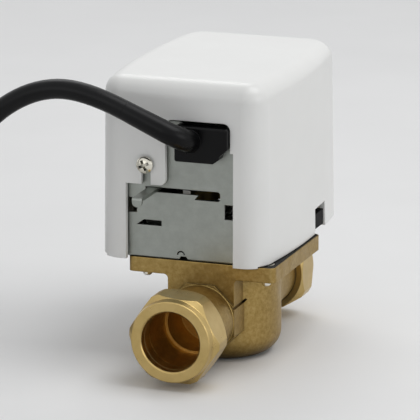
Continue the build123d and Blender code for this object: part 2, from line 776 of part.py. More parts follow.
# Base frame, one bent sheet: floor, front wall and a low back wall
wall_inside = frame_front + sheet
slot_bottom = slot_top - slot_narrow
notch_bottom = slot_top - slot_notch
slot_right_x = head_x + slot_right
notch_left_x = head_x + slot_notch_left
louvre_top = louvre_bottom + louvre_height
grommet_points = [
    (grommet_left, grommet_bottom),
    *((grommet_right - x, grommet_bottom + z) for x, z in grommet_steps),
    (grommet_right, grommet_top),
    (grommet_left, grommet_top),
]
switch_screw_ys = [switch_y - half(switch_screw_pitch), switch_y + half(switch_screw_pitch)]
pillar_places = [(head_x + sx * pillar_x, y) for sx in (-1, 1) for y in (pillar_front, pillar_back)]
switch_foot = floor_top + switch_floor_gap
switch_left = head_x - frame_half_width + sheet + switch_card_thickness
switch_x = switch_left + half(switch_width)
switch_top = switch_foot + switch_height
locator_top = side_notch_top - locator_top_gap
with BuildPart() as base_frame:
    with BuildSketch(Plane.XY.offset(flange_top)) as floor_plan:
        with Locations((head_x, half(frame_front + frame_back))):
            Rectangle(2 * frame_half_width, frame_back - frame_front)
        chamfer(floor_plan.vertices(), frame_corner)
    extrude(amount=sheet)
    with BuildSketch(Plane.XZ.offset(-wall_inside)) as wall_plan:
        with Locations((head_x, half(flange_top + frame_wall_top))):
            Rectangle(2 * frame_wall_half, frame_wall_top - flange_top)
        # lever slot with the latching notch at its open end
        with BuildLine():
            Polyline(
                (head_x - slot_left, slot_top),
                (slot_right_x, slot_top),
                (slot_right_x, notch_bottom),
                (notch_left_x, notch_bottom),
                (notch_left_x + slot_notch_slant, slot_bottom),
                (head_x - slot_left, slot_bottom),
                close=True,
            )
        make_face(mode=Mode.SUBTRACT)
        for window_x in (-window_left - half(window_width), window_right + half(window_width)):
            with Locations((head_x + window_x, window_bottom + half(window_height))):
                Rectangle(window_width, window_height, mode=Mode.SUBTRACT)
        with BuildLine():
            Polyline(
                (head_x - louvre_left, louvre_bottom),
                (head_x - louvre_left + louvre_width, louvre_bottom),
                (head_x - louvre_left + louvre_width, louvre_top),
                (head_x - louvre_left + louvre_slant, louvre_top),
                close=True,
            )
        make_face(mode=Mode.SUBTRACT)
        with Locations((head_x - cover_screw_x, cover_screw_z)):
            Circle(cover_screw_radius + spindle_play, mode=Mode.SUBTRACT)
    extrude(amount=sheet)
    slot_ends = base_frame.edges().filter_by(Axis.Y).filter_by_position(
        Axis.X, slot_right_x - 0.01, slot_right_x + 0.01
    )
    fillet(slot_ends.filter_by_position(Axis.Z, notch_bottom - 0.1, slot_top + 0.1), slot_round)
    wall_foot = base_frame.edges().filter_by(Axis.X).sort_by_distance((head_x, frame_front, flange_top))[0]
    fillet(wall_foot, bend_round)
    # tongue of the louvre, bent inwards from its upper edge
    with BuildSketch(Plane.YZ.offset(head_x - louvre_left + louvre_slant)) as tongue_profile:
        with BuildLine():
            Polyline(
                (wall_inside, louvre_top),
                (wall_inside, louvre_top + sheet),
                (wall_inside + louvre_tongue, louvre_bottom + half(sheet)),
                (wall_inside + louvre_tongue, louvre_bottom - half(sheet)),
                close=True,
            )
        make_face()
    extrude(amount=louvre_width - louvre_slant)
    # cut-out that the strain relief slides into from above
    with BuildSketch(Plane.XZ.offset(-wall_inside - 1)) as cut_out:
        with BuildLine():
            Polyline(*grommet_points, close=True)
        make_face()
        offset(amount=grommet_play - grommet_neck, kind=Kind.INTERSECTION)
        with Locations((half(grommet_left + grommet_right), frame_wall_top)):
            Rectangle(
                grommet_right - grommet_left - 2 * (grommet_neck - grommet_play),
                2 * (frame_wall_top - grommet_top) + 2 * grommet_neck,
            )
    extrude(amount=sheet + 2, mode=Mode.SUBTRACT)
    with BuildSketch(Plane.XZ.offset(-frame_back)) as back_plan:
        with Locations((head_x, half(flange_top + frame_back_top))):
            Rectangle(frame_half_width, frame_back_top - flange_top)
    extrude(amount=sheet)
    # notch at the front wall's foot and the lanced half-moon over it
    with BuildSketch(Plane.XZ.offset(-wall_inside - edge_notch_reach)) as edge_notch_plan:
        with BuildLine():
            Polyline(*((head_x + x, flange_top + z) for x, z in edge_notch), close=True)
        make_face()
    extrude(amount=edge_notch_reach + sheet + 1, mode=Mode.SUBTRACT)
    with BuildSketch(Plane.XZ.offset(-wall_inside - 1)) as pip_plan:
        with Locations((head_x + pip_x, flange_top + pip_rise)):
            Circle(pip_radius)
            Circle(pip_radius - pip_slit, mode=Mode.SUBTRACT)
            with Locations((0, -half(pip_radius))):
                Rectangle(2 * pip_radius, pip_radius, mode=Mode.SUBTRACT)
    extrude(amount=sheet + 2, mode=Mode.SUBTRACT)
    # upstand that carries the cover's locating block
    side_x = head_x + frame_half_width
    with BuildSketch(Plane.YZ.offset(side_x - sheet)) as side_plan:
        with Locations((side_notch_y + half(side_notch_width), half(flange_top + side_notch_top))):
            Rectangle(side_notch_width - upstand_in, side_notch_top - flange_top)
    extrude(amount=sheet)
    # upstand that the microswitch is screwed to
    with BuildSketch(Plane.YZ.offset(head_x - frame_half_width)) as switch_upstand:
        with Locations((switch_y, half(flange_top + switch_top))):
            Rectangle(switch_length, switch_top - flange_top)
        with Locations([(y, switch_foot + switch_screw_z) for y in switch_screw_ys]):
            Circle(deck_screw_radius + spindle_play, mode=Mode.SUBTRACT)
    extrude(amount=sheet)
    with Locations(Plane.XY.offset(floor_top)):
        with Locations((head_x, 0)):
            Hole(bush_radius + frame_bush_gap, depth=sheet)
        with Locations(frame_screws):
            Hole(frame_screw_radius + spindle_play, depth=sheet)
        with Locations(pillar_places):
            Hole(pillar_hole, depth=sheet)
save(base_frame.part, "base_frame")


def pan_screw(radius, length, head_radius, head_height, cross=screw_cross):
    """Domed screw along -Z with its head's seat at Z = 0."""
    rim = screw_rim * head_height
    rise = head_height - rim
    dome = (head_radius**2 + rise**2) / (2 * rise)
    recess = screw_cross_depth * head_height
    with BuildPart() as screw:
        with BuildSketch(Plane.XZ) as screw_profile:
            with BuildLine():
                ThreePointArc(
                    (0, head_height),
                    (half(head_radius), head_height - dome + sqrt(dome**2 - half(head_radius) ** 2)),
                    (head_radius, rim),
                )
                Polyline(
                    (head_radius, rim),
                    (head_radius, 0),
                    (radius, 0),
                    (radius, screw_tip - length),
                    (radius - screw_tip, -length),
                    (0, -length),
                    (0, head_height),
                )
            make_face()
        revolve(axis=Axis.Z)
        with Locations((0, 0, head_height)):
            Box(screw_cross_reach * head_radius, cross, 2 * recess, mode=Mode.SUBTRACT)
            Box(cross, screw_cross_reach * head_radius, 2 * recess, mode=Mode.SUBTRACT)
    return screw.part


frame_screw = pan_screw(frame_screw_radius, frame_screw_length, fixing_head_radius, fixing_head)
with BuildPart() as frame_fixings:
    with Locations([(x, y, floor_top) for x, y in frame_screws]):
        add(frame_screw)
save(frame_fixings.part, "frame_screws")

# Cover
cover_foot = cover_bottom - cover_leg_drop


def cover_plan(inset):
    """Plan of the cover with bowed sides, moved inwards by inset."""
    right = cover_half_width - inset
    bow = cover_bow_radius - inset
    front, back = cover_front + inset, cover_back - inset

    def side_x(y):
        return right - bow + sqrt(bow * bow - (y - cover_widest_y) ** 2)

    with BuildSketch(Plane.XY.offset(cover_foot)) as plan:
        with BuildLine():
            Line((head_x - side_x(front), front), (head_x + side_x(front), front))
            ThreePointArc(
                (head_x + side_x(front), front),
                (head_x + right, cover_widest_y),
                (head_x + side_x(back), back),
            )
            Line((head_x + side_x(back), back), (head_x - side_x(back), back))
            ThreePointArc(
                (head_x - side_x(back), back),
                (head_x - right, cover_widest_y),
                (head_x - side_x(front), front),
            )
        make_face()
        corners = plan.vertices().group_by(Axis.Y)
        fillet(corners[0], cover_front_corner - inset)
        fillet(plan.vertices().group_by(Axis.Y)[-1], cover_back_corner - inset)
    return plan.sketch


def cover_block(inset):
    """Solid under the cover's skin, moved inwards by inset."""
    with BuildPart() as block:
        extrude(cover_plan(inset), amount=cover_top - inset - cover_foot, taper=cover_draft)
        fillet(block.edges().group_by(Axis.Z)[-1], cover_top_round - inset)
    return block.part


with BuildPart() as cover:
    add(cover_block(0))
    add(cover_block(cover_wall), mode=Mode.SUBTRACT)
    with BuildSketch(Plane.XZ.offset(-cover_front + 1)) as opening:
        right_edge = head_x + leg_right
        window_edge = right_edge - opening_step_in
        tab_edge = head_x - tab_right
        with BuildLine():
            Polyline(
                (head_x - leg_left, cover_bottom - 1),
                (right_edge, cover_bottom - 1),
                (right_edge, opening_step),
                (window_edge, opening_step),
                (window_edge, opening_top),
                (tab_edge, opening_top),
                (tab_edge, tab_bottom),
                (head_x - leg_left, tab_bottom),
                close=True,
            )
        make_face()
        window_corners = opening.vertices().group_by(Axis.Y)[-1]
        fillet(window_corners, opening_round)
        tab_corner = opening.vertices().sort_by_distance((tab_edge, tab_bottom, 0))[0]
        fillet(tab_corner, tab_round)
        with Locations((head_x - cover_screw_x, half(cover_screw_z + tab_bottom - 2))):
            Rectangle(cover_screw_slot, cover_screw_z - tab_bottom + 2)
        with Locations((head_x - cover_screw_x, cover_screw_z)):
            Circle(half(cover_screw_slot))
    extrude(amount=-cover_wall - 2.5, mode=Mode.SUBTRACT)
    with BuildSketch(Plane.YZ.offset(head_x)) as side_notch:
        with Locations((side_notch_y + half(side_notch_width), half(side_notch_top + cover_bottom - 1))):
            Rectangle(side_notch_width, side_notch_top - cover_bottom + 1)
    extrude(amount=cover_half_width + 1, mode=Mode.SUBTRACT)
    with BuildSketch(Plane.XY.offset(cover_foot)) as rim_plan:
        rim_front = -half(flange_depth) - cover_leg_gap
        with Locations((head_x, half(rim_front + cover_back + 1))):
            Rectangle(2 * cover_half_width + 2, cover_back + 1 - rim_front)
    extrude(amount=cover_leg_drop, mode=Mode.SUBTRACT)
save(cover.part, "cover")

cover_fixing = pan_screw(
    cover_screw_radius,
    wall_inside - cover_front + cover_screw_gap + cover_screw_tail,
    cover_screw_head,
    cover_screw_height,
    cover_screw_cross,
)
with BuildPart() as cover_screw:
    screw_seat = Plane(
        origin=(head_x - cover_screw_x, cover_front - cover_screw_gap, cover_screw_z),
        x_dir=(cos(radians(cover_screw_turned)), 0, sin(radians(cover_screw_turned))),
        z_dir=(0, -1, 0),
    )
    with Locations(screw_seat):
        add(cover_fixing)
save(cover_screw.part, "cover_screw")

# Black block that guides the cover, clipped on the frame's upstand
locator_reach = frame_side_gap + cover_wall - locator_gap
with BuildPart() as cover_locator:
    with BuildSketch(Plane.XY.offset(floor_top)) as block_plan:
        with Locations((side_x + half(locator_reach), side_notch_y + half(side_notch_width))):
            RectangleRounded(locator_reach, side_notch_width - locator_in, locator_round)
    extrude(amount=locator_top - floor_top)
save(cover_locator.part, "cover_locator")


# Gears


def involute(angle):
    return tan(angle) - angle


def tooth_outline(teeth, tip, root):
    """Half angle of a tooth at radii from its root to its tip, as (radius, angle) pairs."""
    pitch = half(gear_module * teeth)
    base = pitch * cos(pressure_angle)
    thick = half(pi / teeth) - half(backlash) / pitch + involute(pressure_angle)
    start = max(base, root)
    radii = [start + (tip - start) * step / 4 for step in range(5)]
    return [(radius, thick - involute(acos(min(1.0, base / radius)))) for radius in radii]


def tooth_points(centre, middle, pairs, foot):
    """Closed outline of one tooth whose middle line points at the angle middle, in radians."""
    left = [(foot, middle + pairs[0][1])] + [(r, middle + a) for r, a in pairs]
    right = [(r, middle - a) for r, a in reversed(pairs)] + [(foot, middle - pairs[0][1])]
    return [(centre[0] + r * cos(a), centre[1] + r * sin(a)) for r, a in left + right]


pressure_angle = radians(20)
quadrant_pitch = half(gear_module * quadrant_teeth)
pinion_pitch = half(gear_module * pinion_teeth)
pinion_y = quadrant_pitch + pinion_pitch
tooth_angle = 360 / quadrant_teeth
tooth_count = ceil(open_angle / tooth_angle) + 2 * quadrant_spare_teeth
first_tooth = 90 + (quadrant_spare_teeth - 0.5) * tooth_angle
last_tooth = first_tooth - (tooth_count - 1) * tooth_angle
quadrant_root = quadrant_pitch - dedendum * gear_module
quadrant_pairs = tooth_outline(quadrant_teeth, quadrant_pitch + addendum * gear_module, quadrant_root)
pinion_root = pinion_pitch - dedendum * gear_module
pinion_pairs = tooth_outline(pinion_teeth, pinion_pitch + addendum * gear_module, pinion_root)
rivet_places = [
    (head_x + rivet_circle * cos(radians(a)), rivet_circle * sin(radians(a))) for a in rivet_angles
]
spring_top = spring_bottom + spring_turns * spring_pitch
pin_y = spring_radius + spring_wire + post_radius + post_gap
pin_x = head_x - spring_leg + post_in
striker_x = striker_radius * cos(radians(striker_rest))
striker_y = striker_radius * sin(radians(striker_rest))
striker_place = (head_x + striker_x, striker_y)
leaf_top = switch_top + leaf_lift + leaf_thickness

with BuildPart() as quadrant_gear:
    with BuildSketch(Plane.XY.offset(quadrant_bottom)) as quadrant_plan:
        with BuildLine():
            ends = [radians(first_tooth + half(tooth_angle)), radians(last_tooth - half(tooth_angle))]
            rim = [(head_x + quadrant_root * cos(a), quadrant_root * sin(a)) for a in ends]
            mid = half(ends[0] + ends[1])
            Line((head_x, 0), rim[1])
            ThreePointArc(rim[1], (head_x + quadrant_root * cos(mid), quadrant_root * sin(mid)), rim[0])
            Line(rim[0], (head_x, 0))
        make_face()
        with Locations((head_x, 0)):
            Circle(disc_radius)
        with Locations(Location((head_x + half(striker_x), half(striker_y)), striker_rest)):
            SlotCenterToCenter(striker_radius, 2 * striker_lug)
        for k in range(tooth_count):
            with BuildLine():
                angle = radians(first_tooth - k * tooth_angle)
                outline = tooth_points((head_x, 0), angle, quadrant_pairs, quadrant_root - tooth_foot)
                Polyline(*outline, close=True)
            make_face()
        with Locations((head_x, 0)):
            Circle(spigot_radius + spigot_play, mode=Mode.SUBTRACT)
        with Locations(rivet_places):
            Circle(rivet_radius, mode=Mode.SUBTRACT)
    extrude(amount=quadrant_thickness)
save(quadrant_gear.part, "quadrant_gear")

with BuildPart() as quadrant_hub:
    with BuildSketch(Plane.XY.offset(hub_bottom)) as hub_plan:
        with Locations((head_x, 0)):
            Circle(quadrant_hub_radius)
    extrude(amount=quadrant_hub_length)
    with BuildSketch(Plane.XY.offset(quadrant_bottom)) as spigot_plan:
        with Locations((head_x, 0)):
            Circle(spigot_radius)
    extrude(amount=lever_top - quadrant_bottom + spigot_rise)
    with BuildSketch(Plane.XY.offset(hub_bottom)) as bore_plan:
        with Locations((head_x, 0)):
            Circle(spindle_radius + spindle_play)
            with Locations((2 * spindle_radius - spindle_flat + spindle_play, 0)):
                Rectangle(2 * spindle_radius, 4 * spindle_radius, mode=Mode.SUBTRACT)
    extrude(amount=spindle_top, mode=Mode.SUBTRACT)
    with BuildSketch(Plane.YZ.offset(head_x)) as set_screw_plan:
        with Locations((0, quadrant_bottom - half(quadrant_hub_length))):
            Circle(set_screw_radius)
    extrude(amount=2 * quadrant_hub_radius, mode=Mode.SUBTRACT)
save(quadrant_hub.part, "quadrant_hub")

set_screw_x = head_x + spindle_radius - spindle_flat + clip_play
with BuildPart() as hub_set_screw:
    with BuildSketch(Plane.YZ.offset(set_screw_x)) as grub_plan:
        with Locations((0, quadrant_bottom - half(quadrant_hub_length))):
            Circle(set_screw_radius)
    extrude(amount=set_screw_length)
    with BuildSketch(Plane.YZ.offset(set_screw_x + set_screw_length)) as hex_plan:
        with Locations((0, quadrant_bottom - half(quadrant_hub_length))):
            RegularPolygon(set_screw_hex, 6)
    extrude(amount=-set_screw_hex_depth, mode=Mode.SUBTRACT)
save(hub_set_screw.part, "hub_set_screw")

lever_x = head_x - lever_offset
with BuildPart() as manual_lever:
    with BuildSketch(Plane.XY.offset(quadrant_top)) as lever_plan:
        with Locations((head_x, 0)):
            Circle(lever_root_radius)
        with Locations((lever_x, -lever_straight - half(lever_width))):
            Rectangle(lever_width, lever_width)
        make_hull()
        with Locations((lever_x, -half(lever_straight + lever_reach - lever_taper))):
            Rectangle(lever_width, lever_reach - lever_taper - lever_straight)
        with BuildLine():
            Polyline(
                (lever_x - half(lever_width), lever_taper - lever_reach),
                (lever_x + half(lever_width), lever_taper - lever_reach),
                (lever_x + half(lever_tip_width), -lever_reach),
                (lever_x - half(lever_tip_width), -lever_reach),
                close=True,
            )
        make_face()
        with Locations((head_x, 0)):
            Circle(spigot_radius + spigot_play, mode=Mode.SUBTRACT)
        with Locations(rivet_places):
            Circle(rivet_radius, mode=Mode.SUBTRACT)
    extrude(amount=lever_thickness)
    with BuildSketch(Plane.XZ.offset(lever_reach - lever_thickness)) as tip_plan:
        with Locations((lever_x, lever_top - half(lever_tip_drop + half(lever_tip_width)))):
            Rectangle(lever_tip_width, lever_tip_drop + half(lever_tip_width))
        fillet(tip_plan.vertices().group_by(Axis.Y)[0], half(lever_tip_width) - 0.05)
    extrude(amount=lever_thickness)
    bend = manual_lever.edges().filter_by(Axis.X).sort_by_distance((lever_x, -lever_reach, lever_top))[0]
    fillet(bend, 0.8 * lever_thickness)
save(manual_lever.part, "manual_lever")

with BuildPart() as lever_rivets:
    with BuildSketch(Plane.XY.offset(quadrant_bottom - rivet_head_height)) as rivet_plan:
        with Locations(rivet_places):
            Circle(rivet_radius)
    extrude(amount=lever_top - quadrant_bottom + 2 * rivet_head_height)
    for level in (quadrant_bottom - rivet_head_height, lever_top):
        with BuildSketch(Plane.XY.offset(level)) as head_plan:
            with Locations(rivet_places):
                Circle(rivet_head)
        extrude(amount=rivet_head_height)
save(lever_rivets.part, "lever_rivets")

with BuildPart() as spring_pin:
    with BuildSketch(Plane.XY.offset(quadrant_bottom)) as spring_pin_plan:
        with Locations((pin_x, pin_y)):
            Circle(post_radius)
    extrude(amount=spring_top - post_beyond - quadrant_bottom)
save(spring_pin.part, "spring_pin")

with BuildPart() as switch_striker:
    with BuildSketch(Plane.XY.offset(quadrant_bottom)) as striker_plan:
        with Locations(striker_place):
            Circle(post_radius)
    extrude(amount=leaf_top + striker_gap - quadrant_bottom)
save(switch_striker.part, "switch_striker")

with BuildPart() as spring_post:
    with BuildSketch(Plane.XY.offset(floor_top)) as post_plan:
        with Locations((pin_x, -pin_y)):
            Circle(post_radius)
    extrude(amount=spring_bottom + post_beyond - floor_top)
save(spring_post.part, "spring_post")

# Return spring, legs and all its turns one wire, wound upwards from the front
quarters = round(4 * spring_turns)
turn_points, turn_tangents = [], []
for k in range(quarters + 1):
    angle = -half(pi) + half(pi) * k
    turn_points.append(
        Vector(
            head_x + spring_radius * cos(angle),
            spring_radius * sin(angle),
            spring_bottom + spring_pitch * k / 4,
        )
    )
    turn_tangents.append(
        Vector(-sin(angle), cos(angle), spring_pitch / (2 * pi * spring_radius)).normalized()
    )
with BuildPart() as return_spring:
    with BuildLine() as spring_path:
        Line(turn_points[0] - turn_tangents[0] * spring_leg, turn_points[0])
        add_biarcs(turn_points, turn_tangents)
        Line(turn_points[-1], turn_points[-1] + turn_tangents[-1] * spring_leg)
    with BuildSketch(Plane(spring_path.line @ 0, z_dir=turn_tangents[0])) as wire_section:
        Circle(spring_wire)
    sweep(path=spring_path.line)
save(return_spring.part, "return_spring")

pinion_bottom = quadrant_bottom - half(pinion_face - quadrant_thickness)
with BuildPart() as drive_pinion:
    with BuildSketch(Plane.XY.offset(pinion_bottom)) as pinion_plan:
        with Locations((head_x, pinion_y)):
            Circle(pinion_root)
        for k in range(pinion_teeth):
            with BuildLine():
                angle = radians(-90 + 360 * k / pinion_teeth)
                outline = tooth_points((head_x, pinion_y), angle, pinion_pairs, pinion_root - tooth_foot)
                Polyline(*outline, close=True)
            make_face()
    extrude(amount=pinion_face)
    with BuildSketch(Plane.XY.offset(quadrant_bottom)) as shaft_plan:
        with Locations((head_x, pinion_y)):
            Circle(shaft_radius)
    extrude(amount=deck_bottom + sheet + shaft_in_motor - quadrant_bottom)
save(drive_pinion.part, "drive_pinion")

# Deck, pillars and screws
deck_top = deck_bottom + sheet
with BuildPart() as motor_deck:
    with BuildSketch(Plane.XY.offset(deck_bottom)) as deck_plan:
        with Locations((head_x, half(deck_front + deck_back))):
            RectangleRounded(2 * deck_half_width, deck_back - deck_front, deck_corner)
        with Locations(pillar_places):
            Circle(deck_screw_radius + spindle_play, mode=Mode.SUBTRACT)
        with Locations((head_x, pinion_y)):
            Circle(motor_boss_radius + motor_boss_gap, mode=Mode.SUBTRACT)
        with Locations([(head_x + sx * motor_screw_x, motor_y) for sx in (-1, 1)]):
            Circle(deck_screw_radius + spindle_play, mode=Mode.SUBTRACT)
    extrude(amount=sheet)
save(motor_deck.part, "motor_deck")

with BuildPart() as deck_pillars:
    with BuildSketch(Plane.XY.offset(floor_top)) as pillar_plan:
        with Locations(pillar_places):
            Circle(pillar_radius)
    extrude(amount=deck_bottom - floor_top)
    with BuildSketch(Plane.XY.offset(flange_top)) as spigot_plan:
        with Locations(pillar_places):
            Circle(pillar_spigot)
    extrude(amount=sheet)
    with BuildSketch(Plane.XY.offset(deck_bottom)) as tapped_plan:
        with Locations(pillar_places):
            Circle(deck_screw_radius + tap_play)
    extrude(amount=-pillar_tap, mode=Mode.SUBTRACT)
save(deck_pillars.part, "deck_pillars")

deck_screw = pan_screw(deck_screw_radius, deck_screw_length, deck_screw_head, deck_screw_height)
with BuildPart() as deck_screws:
    with Locations([(x, y, deck_top) for x, y in pillar_places]):
        add(deck_screw)
save(deck_screws.part, "deck_screws")

# Motor
gearbox_top = deck_top + gearbox_height
can_top = gearbox_top + can_height
with BuildPart() as motor_gearbox:
    with BuildSketch(Plane.XY.offset(deck_top)) as gearbox_plan:
        with Locations((head_x, motor_y)):
            Circle(motor_radius)
    extrude(amount=gearbox_height)
    with BuildSketch(Plane.XY.offset(deck_top)) as ear_plan:
        with Locations((head_x, motor_y)):
            RectangleRounded(2 * ear_half_width, ear_width, half(ear_width) - 0.1)
        with Locations([(head_x + sx * motor_screw_x, motor_y) for sx in (-1, 1)]):
            Circle(deck_screw_radius + spindle_play, mode=Mode.SUBTRACT)
    extrude(amount=ear_thickness)
    with BuildSketch(Plane.XY.offset(deck_bottom)) as boss_plan:
        with Locations((head_x, pinion_y)):
            Circle(motor_boss_radius)
    extrude(amount=sheet)
    with Locations((head_x, pinion_y, deck_bottom)):
        Cylinder(
            shaft_radius + spindle_play,
            sheet + shaft_in_motor + 0.2,
            align=(Align.CENTER, Align.CENTER, Align.MIN),
            mode=Mode.SUBTRACT,
        )
save(motor_gearbox.part, "motor_gearbox")

with BuildPart() as motor_can:
    with BuildSketch(Plane.XY.offset(gearbox_top)) as can_plan:
        with Locations((head_x, motor_y)):
            Circle(motor_radius - can_inset)
    extrude(amount=can_height)
    fillet(motor_can.edges().group_by(Axis.Z)[-1], can_round)
    with BuildSketch(Plane.XY.offset(can_top)) as boss_plan:
        with Locations((head_x, motor_y)):
            Circle(can_boss_radius)
    extrude(amount=can_boss)
save(motor_can.part, "motor_can")

motor_screw = pan_screw(deck_screw_radius, motor_screw_length, deck_screw_head, deck_screw_height)
with BuildPart() as motor_screws:
    with Locations(
        [(head_x + sx * motor_screw_x, motor_y, deck_top + ear_thickness) for sx in (-1, 1)]
    ):
        add(motor_screw)
save(motor_screws.part, "motor_screws")

terminal_z = gearbox_top + terminal_rise
with BuildPart() as motor_terminals:
    with Locations((head_x, motor_y - motor_radius, terminal_z)):
        Box(terminal_width, 2 * terminal_depth, terminal_height)
    with Locations((head_x, motor_y, terminal_z)):
        Cylinder(motor_radius - can_inset + tap_play, 2 * terminal_height, mode=Mode.SUBTRACT)
save(motor_terminals.part, "motor_terminals")

# Microswitch, its insulating card, screws, blades, button and leaf
switch_right = switch_x + half(switch_width)
leaf_bottom = switch_top + leaf_lift
leaf_middle = leaf_bottom + half(leaf_thickness)
with BuildPart() as microswitch:
    with BuildSketch(Plane.XY.offset(switch_foot)) as case_plan:
        with Locations((switch_x, switch_y)):
            Rectangle(switch_width, switch_length)
    extrude(amount=switch_height)
    chamfer(microswitch.edges().filter_by(Axis.Z), switch_chamfer)
    with BuildSketch(Plane.XY.offset(switch_top)) as lug_plan:
        for sx in (-1, 1):
            with Locations((switch_x + sx * (half(leaf_width) + lug_gap + half(lug_width)), leaf_pivot_y)):
                Rectangle(lug_width, lug_length)
    extrude(amount=leaf_middle + leaf_pin_radius + lug_rise - switch_top)
    with BuildSketch(Plane.YZ.offset(switch_left)) as holes_plan:
        with Locations([(y, switch_foot + switch_screw_z) for y in switch_screw_ys]):
            Circle(deck_screw_radius + spindle_play)
        with Locations((leaf_pivot_y, leaf_middle)):
            Circle(leaf_pin_radius + spindle_play)
    extrude(amount=switch_width, mode=Mode.SUBTRACT)
    with Locations((switch_x, switch_button_y, switch_top)):
        Hole(button_radius + spindle_play, depth=button_depth)
save(microswitch.part, "microswitch")

with BuildPart() as switch_card:
    with BuildSketch(Plane.YZ.offset(head_x - frame_half_width + sheet)) as card_plan:
        with Locations((switch_y, half(switch_foot + switch_top))):
            Rectangle(switch_length + 2 * card_margin, switch_height)
        with Locations([(y, switch_foot + switch_screw_z) for y in switch_screw_ys]):
            Circle(deck_screw_radius + spindle_play, mode=Mode.SUBTRACT)
    extrude(amount=switch_card_thickness)
save(switch_card.part, "switch_card")

switch_screw_length = switch_right - head_x + frame_half_width + switch_screw_beyond
switch_screw = pan_screw(deck_screw_radius, switch_screw_length, deck_screw_head, deck_screw_height)
with BuildPart() as switch_screws:
    with Locations(
        [
            Plane(origin=(switch_right, y, switch_foot + switch_screw_z), z_dir=(1, 0, 0))
            for y in switch_screw_ys
        ]
    ):
        add(switch_screw)
save(switch_screws.part, "switch_screws")

blade_y = switch_y + half(switch_length)
with BuildPart() as switch_blades:
    for blade_rise in blade_rises:
        with BuildSketch(Plane.XY.offset(switch_foot + blade_rise)) as blade_plan:
            with Locations((switch_x, blade_y + half(blade_length))):
                Rectangle(blade_width, blade_length)
            chamfer(blade_plan.vertices().group_by(Axis.Y)[-1], blade_chamfer)
            with Locations((switch_x, blade_y + blade_length - blade_hole_in)):
                Circle(blade_hole, mode=Mode.SUBTRACT)
        extrude(amount=blade_thickness)
save(switch_blades.part, "switch_blades")

with BuildPart() as switch_button:
    with BuildSketch(Plane.XY.offset(switch_top - button_tail)) as button_plan:
        with Locations((switch_x, switch_button_y)):
            Circle(button_radius)
    extrude(amount=leaf_bottom - button_gap - switch_top + button_tail)
    fillet(switch_button.edges().group_by(Axis.Z)[-1], button_round)
save(switch_button.part, "switch_button")

with BuildPart() as switch_leaf:
    with BuildSketch(Plane.XY.offset(leaf_bottom)) as leaf_plan:
        with Locations((switch_x, half(leaf_pivot_y - leaf_pin_radius + leaf_end_y))):
            Rectangle(leaf_width, leaf_end_y - leaf_pivot_y + leaf_pin_radius)
        fillet(leaf_plan.vertices().group_by(Axis.Y)[-1], leaf_round)
    extrude(amount=leaf_thickness)
    with BuildSketch(Plane.YZ.offset(switch_x - half(leaf_width) - lug_gap - lug_width)) as leaf_pin_plan:
        with Locations((leaf_pivot_y, leaf_middle)):
            Circle(leaf_pin_radius)
    extrude(amount=leaf_width + 2 * lug_gap + 2 * lug_width)
save(switch_leaf.part, "switch_leaf")

# Strain relief: block in the wall's cut-out and the tapered boot moulded on the lead
boot_line = (Vector(*boot_path[2]) - Vector(*boot_path[1])).normalized()
with BuildPart() as strain_relief:
    with BuildSketch(Plane.XZ.offset(-frame_front)) as front_flange:
        with BuildLine():
            Polyline(*grommet_points, close=True)
        make_face()
    extrude(amount=frame_front - grommet_front)
    fillet(strain_relief.edges().filter_by(Axis.Y), grommet_side_round)
    fillet(strain_relief.edges().group_by(Axis.Y)[0], grommet_face_round)
    with BuildSketch(Plane.XZ.offset(-wall_inside)) as neck_plan:
        with BuildLine():
            Polyline(*grommet_points, close=True)
        make_face()
        offset(amount=-grommet_neck, kind=Kind.INTERSECTION)
    extrude(amount=wall_inside - frame_front)
    with BuildSketch(Plane.XZ.offset(-grommet_back)) as rear_flange:
        with BuildLine():
            Polyline(*grommet_points, close=True)
        make_face()
    extrude(amount=grommet_back - wall_inside)
    with BuildLine() as boot_centre:
        FilletPolyline(*boot_path, radius=boot_bend)
    with BuildSketch(Plane(boot_centre.line @ 0, z_dir=boot_centre.line % 0)) as boot_root:
        Circle(boot_root_radius)
    with BuildSketch(Plane(boot_centre.line @ 1, z_dir=boot_centre.line % 1)) as boot_end:
        Circle(cable_radius)
    sweep(sections=[boot_root.sketch, boot_end.sketch], path=boot_centre.line, multisection=True)
save(strain_relief.part, "strain_relief")


# Mains lead from the boot down to the surface, as straight runs joined by arcs
def route_radii(points):
    """Radius at each corner: 0.45 of the shorter run over the tangent of half the turn."""
    radii = []
    for before, corner, after in zip(points, points[1:], points[2:]):
        arriving, leaving = corner - before, after - corner
        shorter = min(arriving.length, leaving.length)
        radii.append(0.45 * shorter / tan(half(radians(arriving.get_angle(leaving)))))
    return radii


lay_z = cable_radius + cable_lift
coil_start = Vector(lead_end_x, coil_centre_y - coil_radius, lay_z)
boot_tip = Vector(*boot_path[2])
lead_points = [boot_tip, boot_tip + boot_line * lead_first_run] + [Vector(*p) for p in lead_route]
lead_points += [Vector(lead_landing_x, coil_start.Y, lay_z), coil_start]
lead_radii = route_radii(lead_points)
print("lead radii", [round(r, 1) for r in lead_radii])
print("lead runs", [round((b - a).length, 1) for a, b in zip(lead_points, lead_points[1:])])
with BuildPart() as mains_lead:
    with BuildLine() as lead_path:
        FilletPolyline(*lead_points, radius=lead_radii)
    with BuildSketch(Plane(lead_path.line @ 0, z_dir=lead_path.line % 0)) as lead_section:
        Circle(cable_radius)
    sweep(path=lead_path.line)
save(mains_lead.part, "mains_lead")
lead_length = lead_path.wires()[0].length
print("lead", round(lead_length, 1), "volume", round(mains_lead.part.volume, 1))
print("section times length", round(pi * cable_radius**2 * lead_length, 1))


